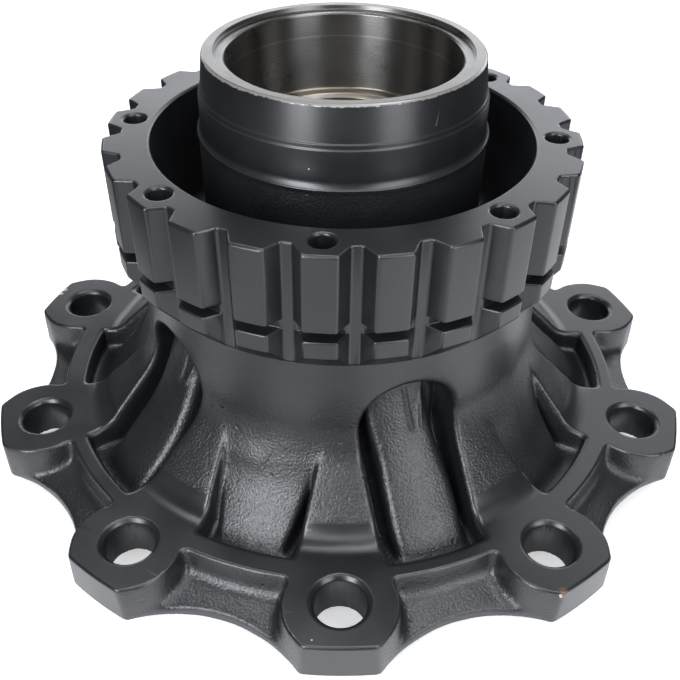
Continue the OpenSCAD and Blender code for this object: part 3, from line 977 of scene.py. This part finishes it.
class Finish:
    """Builds one node material in short steps."""

    def __init__(self, name):
        self.material = bpy.data.materials.new(name)
        self.material.use_nodes = True
        self.nodes = self.material.node_tree.nodes
        self.links = self.material.node_tree.links
        self.shader = self.nodes["Principled BSDF"]
        self.place = self.nodes.new("ShaderNodeTexCoord").outputs["Object"]

    def plug(self, socket, value):
        """Links an output to an input, or sets a plain value on it."""
        if isinstance(value, bpy.types.NodeSocket):
            self.links.new(value, socket)
        else:
            socket.default_value = value

    def set(self, **values):
        """Sets inputs of the shader by name."""
        for name, value in values.items():
            self.plug(self.shader.inputs[name.replace("_", " ").title().replace("Ior", "IOR")], value)

    def math(self, operation, a, b=0.0):
        """Sum, product or the like of two values."""
        node = self.nodes.new("ShaderNodeMath")
        node.operation = operation
        self.plug(node.inputs[0], a)
        self.plug(node.inputs[1], b)
        return node.outputs[0]

    def product(self, *factors):
        """Product of two or more values."""
        result = factors[0]
        for factor in factors[1:]:
            result = self.math("MULTIPLY", result, factor)
        return result

    def rise(self, value, low, high, start=0.0, end=1.0):
        """Maps low..high smoothly to start..end."""
        node = self.nodes.new("ShaderNodeMapRange")
        node.interpolation_type = "SMOOTHSTEP"
        for name, number in (("Value", value), ("From Min", low), ("From Max", high),
                             ("To Min", start), ("To Max", end)):
            self.plug(node.inputs[name], number)
        return node.outputs[0]

    def mix(self, share, a, b, kind="RGBA"):
        """Mixes two colours, or two values with kind FLOAT."""
        node = self.nodes.new("ShaderNodeMix")
        node.data_type = kind
        self.plug(node.inputs["Factor"], share)
        self.plug(node.inputs["A"], (*a, 1) if isinstance(a, tuple) else a)
        self.plug(node.inputs["B"], (*b, 1) if isinstance(b, tuple) else b)
        return node.outputs["Result"]

    def noise(self, size, detail=2.0, rough=0.5):
        """Noise whose features are about size metres wide."""
        node = self.nodes.new("ShaderNodeTexNoise")
        self.plug(node.inputs["Vector"], self.place)
        node.inputs["Scale"].default_value = 1 / size
        node.inputs["Detail"].default_value = detail
        node.inputs["Roughness"].default_value = rough
        return node.outputs["Fac"]

    def pits(self, spacing, size):
        """Round spots, 1 in their middle, one for each cell of the given spacing."""
        node = self.nodes.new("ShaderNodeTexVoronoi")
        self.plug(node.inputs["Vector"], self.place)
        node.inputs["Scale"].default_value = 1 / spacing
        share = size / spacing
        return self.rise(node.outputs["Distance"], share * 0.5, share, 1.0, 0.0)

    def attribute(self, name):
        """A mask that the mesh carries."""
        node = self.nodes.new("ShaderNodeAttribute")
        node.attribute_name = name
        return node.outputs["Fac"]

    def axes(self):
        """The three coordinates of the place."""
        split = self.nodes.new("ShaderNodeSeparateXYZ")
        self.plug(split.inputs[0], self.place)
        return split.outputs

    def radius(self):
        """Distance from the axle, and height above the rest face."""
        x, y, z = self.axes()
        square = self.math("ADD", self.math("MULTIPLY", x, x), self.math("MULTIPLY", y, y))
        return self.math("SQRT", square), z

    def rings(self, size, along):
        """Fine turning marks: noise that only changes with a distance."""
        node = self.nodes.new("ShaderNodeTexNoise")
        node.noise_dimensions = "1D"
        self.plug(node.inputs["W"], self.math("DIVIDE", along, size))
        node.inputs["Scale"].default_value = 1.0
        node.inputs["Detail"].default_value = 3.0
        return node.outputs["Fac"]

    def bump(self, height, distance, strength=1.0, under=None):
        """Normal of a relief, laid over the normal under it."""
        node = self.nodes.new("ShaderNodeBump")
        self.plug(node.inputs["Height"], height)
        self.plug(node.inputs["Strength"], strength)
        node.inputs["Distance"].default_value = distance
        if under is not None:
            self.plug(node.inputs["Normal"], under)
        return node.outputs[0]

    def vector(self, operation, a, b, out=0):
        """Difference, distance, dot product or scaling of vectors."""
        node = self.nodes.new("ShaderNodeVectorMath")
        node.operation = operation
        self.plug(node.inputs[0], a)
        self.plug(node.inputs["Scale" if operation == "SCALE" else 1], b)
        return node.outputs[out]

    def spot(self, place, size):
        """1 within size of a place, ragged at its border.

        The place is its radius, its degrees from the first lug and its height.
        """
        distance = self.vector("DISTANCE", self.place, around(*place), "Value")
        wander = self.math("MULTIPLY", self.noise(1.2 * MM, 3.0), size * 0.9)
        ragged = self.math("ADD", distance, wander)
        return self.rise(ragged, size * 1.25, size * 1.45, 1.0, 0.0)

    def chips(self, places):
        """1 in chips of the given places and sizes."""
        most = 0.0
        for place, size in places:
            most = self.math("MAXIMUM", most, self.spot(place, size))
        return most

    def scratch(self, start, end):
        """1 along a fine line between two places."""
        first, last = Vector(around(*start)), Vector(around(*end))
        way = last - first
        here = self.vector("SUBTRACT", self.place, tuple(first))
        along = self.vector("DOT_PRODUCT", here, tuple(way), "Value")
        along = self.math("DIVIDE", along, way.length_squared)
        along = self.math("MINIMUM", self.math("MAXIMUM", along, 0.0), 1.0)
        nearest = self.vector("SCALE", tuple(way), along)
        distance = self.vector("DISTANCE", here, nearest, "Value")
        return self.rise(distance, 0.1 * MM, 0.45 * MM, 1.0, 0.0)


def tint(colour, *factors):
    """A colour made darker or lighter, by one factor or by one for each of its parts."""
    factors = factors if len(factors) > 1 else factors * 3
    return tuple(part * factor for part, factor in zip(colour, factors))


def paint_chips(finish, shape):
    """Mask of the chips on three lugs, a speck on the neck and the faint scratch below the rim."""
    face, rim = shape.z_face, shape.z_rim
    chips = finish.chips((
        ((190.2 * MM, -110.3, face), 2.1 * MM),
        ((189.6 * MM, -108.9, face), 1.4 * MM),
        ((190.4 * MM, 30.9, face - 1.4 * MM), 0.9 * MM),
        ((190.2 * MM, 31.1, face - 2.6 * MM), 0.7 * MM),
        ((190.8 * MM, -5.7, face - 7.4 * MM), 0.5 * MM),
        ((187.1 * MM, -3.7, face), 0.4 * MM),
        ((190.8 * MM, 4.8, face), 0.6 * MM),
        ((68.3 * MM, -12.5, rim - 27.5 * MM), 0.4 * MM),
    ))
    scratch = finish.scratch((66.2 * MM, 37.6, rim - 3 * MM), (66.8 * MM, 34.8, rim - 13 * MM))
    return finish.math("MAXIMUM", chips, finish.product(scratch, 0.3))


def worn_rim(finish, shape):
    """Mask of the ragged edge of the rim, where the paint is worn off."""
    radius, height = finish.radius()
    ragged = finish.math("ADD", height, finish.product(finish.noise(3 * MM, 4.0, 0.6), 2.2 * MM))
    edge = shape.z_rim + 0.05 * MM
    beside_bore = finish.rise(radius, 66.4 * MM, 66.8 * MM, 1.0, 0.0)
    return finish.product(finish.rise(ragged, edge, edge + 0.25 * MM), beside_bore)


def paint_finish(colours, shape):
    """Satin black paint, grainy over cast skin and fine-lined over turned faces, with its chips, and
    painted shade in the pits of the cast skin.
    """
    finish = Finish("satin_black_paint")
    paint, primer = tuple(colours.paint), tuple(colours.primer)
    cast = finish.attribute("cast")
    turned = finish.math("SUBTRACT", 1.0, cast)
    cloudy = finish.noise(28 * MM, 3.0)
    pit = finish.pits(9 * MM, 1.3 * MM)
    dust = finish.pits(15 * MM, 0.35 * MM)
    rust = finish.spot((189.6 * MM, 31.6, shape.z_face - 2 * MM), 3.0 * MM)
    chips = paint_chips(finish, shape)
    worn = worn_rim(finish, shape)

    shade = finish.mix(finish.rise(cloudy, 0.35, 0.7), paint, tint(paint, 1.4))
    # Painted shade: the pits of the cast skin get a darker colour
    shade = finish.mix(finish.product(pit, cast, 0.7), shade, tint(paint, 0.35))
    shade = finish.mix(finish.product(dust, turned, 0.5), shade, tint(primer, 0.25))
    shade = finish.mix(finish.product(rust, 0.4), shade, tuple(colours.rust))
    shade = finish.mix(chips, shade, primer)
    shade = finish.mix(worn, shade, tint(primer, 0.8))
    finish.set(base_color=shade, metallic=finish.product(worn, 0.5), specular_ior_level=0.85)

    cast_rough = finish.rise(finish.noise(0.9 * MM), 0.3, 0.7, 0.30, 0.44)
    turned_rough = finish.rise(cloudy, 0.3, 0.7, 0.28, 0.34)
    finish.set(roughness=finish.mix(cast, turned_rough, cast_rough, "FLOAT"))

    radius, height = finish.radius()
    lines = finish.math("ADD", finish.rings(0.35 * MM, radius), finish.rings(0.35 * MM, height))
    normal = finish.bump(lines, 0.012 * MM, finish.product(turned, 0.6))
    peel = finish.noise(0.8 * MM, 1.0)
    normal = finish.bump(peel, 0.02 * MM, finish.product(turned, 0.5), normal)
    skin = finish.math("SUBTRACT", finish.noise(1.2 * MM), finish.product(pit, 0.5))
    normal = finish.bump(skin, 0.28 * MM, cast, normal)
    finish.set(normal=finish.bump(chips, 0.15 * MM, -1.0, normal))
    return finish.material


def steel_finish(colours, shape):
    """Bare turned metal of the rim and the bores, with marks that run round the axle and a painted
    highlight ring in the bore.
    """
    finish = Finish("bare_turned_metal")
    radius, height = finish.radius()
    steel = tuple(colours.steel)
    marks = finish.rings(0.5 * MM, finish.math("ADD", height, radius))
    broad = finish.rings(3.0 * MM, height)
    tone = finish.mix(finish.rise(marks, 0.3, 0.7), tint(steel, 0.8), steel)
    low = finish.rise(height, shape.z_rim - 45 * MM, shape.z_rim - 38 * MM, 1.0, 0.0)
    warm = finish.product(finish.rise(broad, 0.4, 0.6), low)
    tone = finish.mix(warm, tone, tint(steel, 1.5, 1.3, 1.0))
    # Painted highlight: a lighter ring in the bore 14 mm below the rim
    from_painted_highlight = finish.math("ABSOLUTE", finish.math("SUBTRACT", height, shape.z_rim - 14 * MM))
    line = finish.rise(from_painted_highlight, 0.15 * MM, 0.4 * MM, 0.6, 0.0)
    finish.set(base_color=finish.mix(line, tone, tint(steel, 1.8)), metallic=1.0)
    finish.set(roughness=finish.rise(finish.noise(12 * MM), 0.3, 0.7, 0.27, 0.32))
    finish.set(normal=finish.bump(broad, 0.004 * MM, 0.6))
    tangent = finish.nodes.new("ShaderNodeTangent")
    tangent.direction_type = "RADIAL"
    tangent.axis = "Z"
    brushed = finish.rise(radius, 55.2 * MM, 56.2 * MM, 0.75, 0.15)
    finish.set(tangent=tangent.outputs[0], anisotropic=brushed, anisotropic_rotation=0.25)
    return finish.material


def floor_finish():
    """White floor that keeps the shadow. The hub sees a white disc on it and a darker ground. Near the
    hub that floor is lighter towards the right, which is painted light. In reflections the floor
    glows, most on the disc, as a painted reflection, with no glow under the hub as a painted shadow.
    """
    finish = Finish("studio_floor")
    path = finish.nodes.new("ShaderNodeLightPath")
    camera = path.outputs["Is Camera Ray"]
    to_right = finish.axes()[0]
    radius = finish.radius()[0]
    disc = finish.rise(radius, 0.215, 0.255, 1.0, 0.0)
    # Painted light: near the hub, the floor that the hub sees is lighter towards the right and dark
    # far to the left
    near = finish.rise(radius, 0.45, 0.60, 1.0, 0.0)
    right = finish.rise(to_right, 0.0, 0.18, 0.62, 0.95)
    left = finish.rise(to_right, -0.40, -0.22)
    seen = finish.math("MAXIMUM", disc, finish.product(near, right, left))
    white = finish.math("MAXIMUM", seen, camera)
    ground = finish.mix(white, (0.06, 0.06, 0.06), (0.85, 0.85, 0.85))
    finish.set(base_color=ground, roughness=0.9, specular_ior_level=0.0)
    # Painted reflection: the floor glows only in reflections, most on the disc, and not under the hub,
    # where the missing glow is a painted shadow
    glow_out_of_painted_shadow = finish.rise(radius, 0.176, 0.184, 0.0, 0.3)
    brighter_disc = finish.math("ADD", 1.0, finish.product(disc, 0.6))
    painted_reflection_glow = finish.product(path.outputs["Is Glossy Ray"], seen, glow_out_of_painted_shadow, brighter_disc)
    glow = finish.math("MAXIMUM", finish.product(camera, 0.5), painted_reflection_glow)
    finish.set(emission_color=(1, 1, 1, 1), emission_strength=glow)
    return finish.material


# Name, place, width and height in metres, and power in watts of each lamp
LAMPS = (
    ("left_front_box", (-0.53, -0.88, 0.56), (0.42, 0.92), 11),
    ("right_front_box", (0.63, -0.80, 0.52), (0.5, 0.96), 6.2),
    ("top_front_box", (0.0, -0.72, 1.10), (0.7, 0.30), 1.7),
    ("overhead_box", (0.05, 0.08, 1.35), (1.4, 0.35), 9),
    ("back_right_box", (0.75, 1.10, 1.35), (0.8, 0.6), 2.2),
    ("backdrop_glow", (0.2, 1.7, 0.64), (3.2, 0.86), 20),
)


# Operators


class HUB_OT_casting(bpy.types.Operator):
    """Builds the skin of the whole casting and its finishes"""

    bl_idname = "hub.casting"
    bl_label = "Hub Casting"
    bl_options = {"REGISTER", "UNDO"}

    def execute(self, context):
        shape = HubShape(context.scene.hub_sizes)
        paint = paint_finish(context.scene.hub_finish, shape)
        steel = steel_finish(context.scene.hub_finish, shape)
        mesh = casting_mesh(shape, paint)
        roughen(mesh, shape)
        mesh = thinned(mesh, TRIANGLES, shape)
        mesh.materials.clear()
        mesh.materials.append(paint)
        mesh.materials.append(steel)
        keep_masks(mesh, shape)
        exact_shading(mesh, shape)
        obj = bpy.data.objects.new("hub_casting", mesh)
        context.collection.objects.link(obj)
        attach(obj, "root")
        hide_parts("hub")
        return {"FINISHED"}


class HUB_OT_studio(bpy.types.Operator):
    """Adds the pale floor, the lamps and the camera"""

    bl_idname = "hub.studio"
    bl_label = "Studio"
    bl_options = {"REGISTER", "UNDO"}

    def floor(self, context):
        """Square floor at the height that the hub stands on."""
        half = 4.0
        corners = [(-half, -half), (half, -half), (half, half), (-half, half)]
        mesh = bpy.data.meshes.new("floor")
        mesh.from_pydata([(x, y, LOW[2]) for x, y in corners], [], [(0, 1, 2, 3)])
        mesh.materials.append(floor_finish())
        floor = bpy.data.objects.new("floor", mesh)
        context.collection.objects.link(floor)

    def surroundings(self, context):
        """World that the camera sees white and that lights the hub faintly."""
        world = bpy.data.worlds.new("studio")
        world.use_nodes = True
        nodes, links = world.node_tree.nodes, world.node_tree.links
        faint = nodes["Background"]
        faint.inputs["Color"].default_value = (1, 1, 1, 1)
        faint.inputs["Strength"].default_value = 0.11
        white = nodes.new("ShaderNodeBackground")
        white.inputs["Color"].default_value = (1, 1, 1, 1)
        white.inputs["Strength"].default_value = 1.0
        path = nodes.new("ShaderNodeLightPath")
        mix = nodes.new("ShaderNodeMixShader")
        links.new(path.outputs["Is Camera Ray"], mix.inputs[0])
        links.new(faint.outputs[0], mix.inputs[1])
        links.new(white.outputs[0], mix.inputs[2])
        links.new(mix.outputs[0], nodes["World Output"].inputs["Surface"])
        context.scene.world = world

    def lamp(self, context, name, place, size, power):
        """An area lamp that points at the middle of the hub."""
        light = bpy.data.lights.new(name, "AREA")
        light.shape = "RECTANGLE"
        light.size, light.size_y = size
        light.energy = power
        light.color = (0.95, 0.98, 1.04)
        obj = bpy.data.objects.new(name, light)
        aim = Vector((0, 0, HIGH[2] * 0.4)) - Vector(place)
        turn = aim.to_track_quat("-Z", "Y").to_matrix().to_4x4()
        obj.matrix_world = Matrix.Translation(place) @ turn
        context.collection.objects.link(obj)

    def camera(self, context):
        """Camera that looks down on the hub from the front."""
        studio = context.scene.hub_studio
        camera = bpy.data.cameras.new("camera")
        camera.lens = studio.lens
        camera.sensor_width = 36
        camera.clip_start = 0.01
        obj = bpy.data.objects.new("camera", camera)
        aim = Vector((0, 0, studio.aim_height))
        level = math.cos(studio.elevation)
        back = Vector((math.sin(studio.azimuth) * level, -math.cos(studio.azimuth) * level,
                       math.sin(studio.elevation)))
        look = (-back).to_track_quat("-Z", "Y").to_matrix().to_4x4()
        roll = Matrix.Rotation(studio.roll, 4, "Z")
        obj.matrix_world = Matrix.Translation(aim + back * studio.distance) @ look @ roll
        context.collection.objects.link(obj)
        context.scene.camera = obj

    def execute(self, context):
        self.floor(context)
        self.surroundings(context)
        for name, place, size, power in LAMPS:
            self.lamp(context, name, place, size, power)
        self.camera(context)
        context.scene.view_settings.view_transform = "Standard"
        return {"FINISHED"}


class HUB_PT_panel(bpy.types.Panel):
    """Lists the sizes, the finish and the steps"""

    bl_idname = "HUB_PT_panel"
    bl_label = "Wheel Hub"
    bl_space_type = "VIEW_3D"
    bl_region_type = "UI"
    bl_category = "Wheel Hub"

    def draw(self, context):
        layout = self.layout
        for group in (context.scene.hub_sizes, context.scene.hub_finish, context.scene.hub_studio):
            box = layout.box()
            for name in group.__annotations__:
                box.prop(group, name)
        for step in STEPS:
            layout.operator(step.bl_idname)


GROUPS = {"hub_sizes": HubSizes, "hub_finish": HubFinish, "hub_studio": StudioSizes}
STEPS = (HUB_OT_casting, HUB_OT_studio)


def register():
    for cls in (*GROUPS.values(), *STEPS, HUB_PT_panel):
        bpy.utils.register_class(cls)
    for name, cls in GROUPS.items():
        setattr(bpy.types.Scene, name, PointerProperty(type=cls))


def unregister():
    for name in GROUPS:
        delattr(bpy.types.Scene, name)
    for cls in (HUB_PT_panel, *reversed(STEPS), *GROUPS.values()):
        bpy.utils.unregister_class(cls)


def main():
    """Builds the hub and its studio."""
    register()
    bpy.ops.hub.casting()
    bpy.ops.hub.studio()


if __name__ == "__main__":
    main()
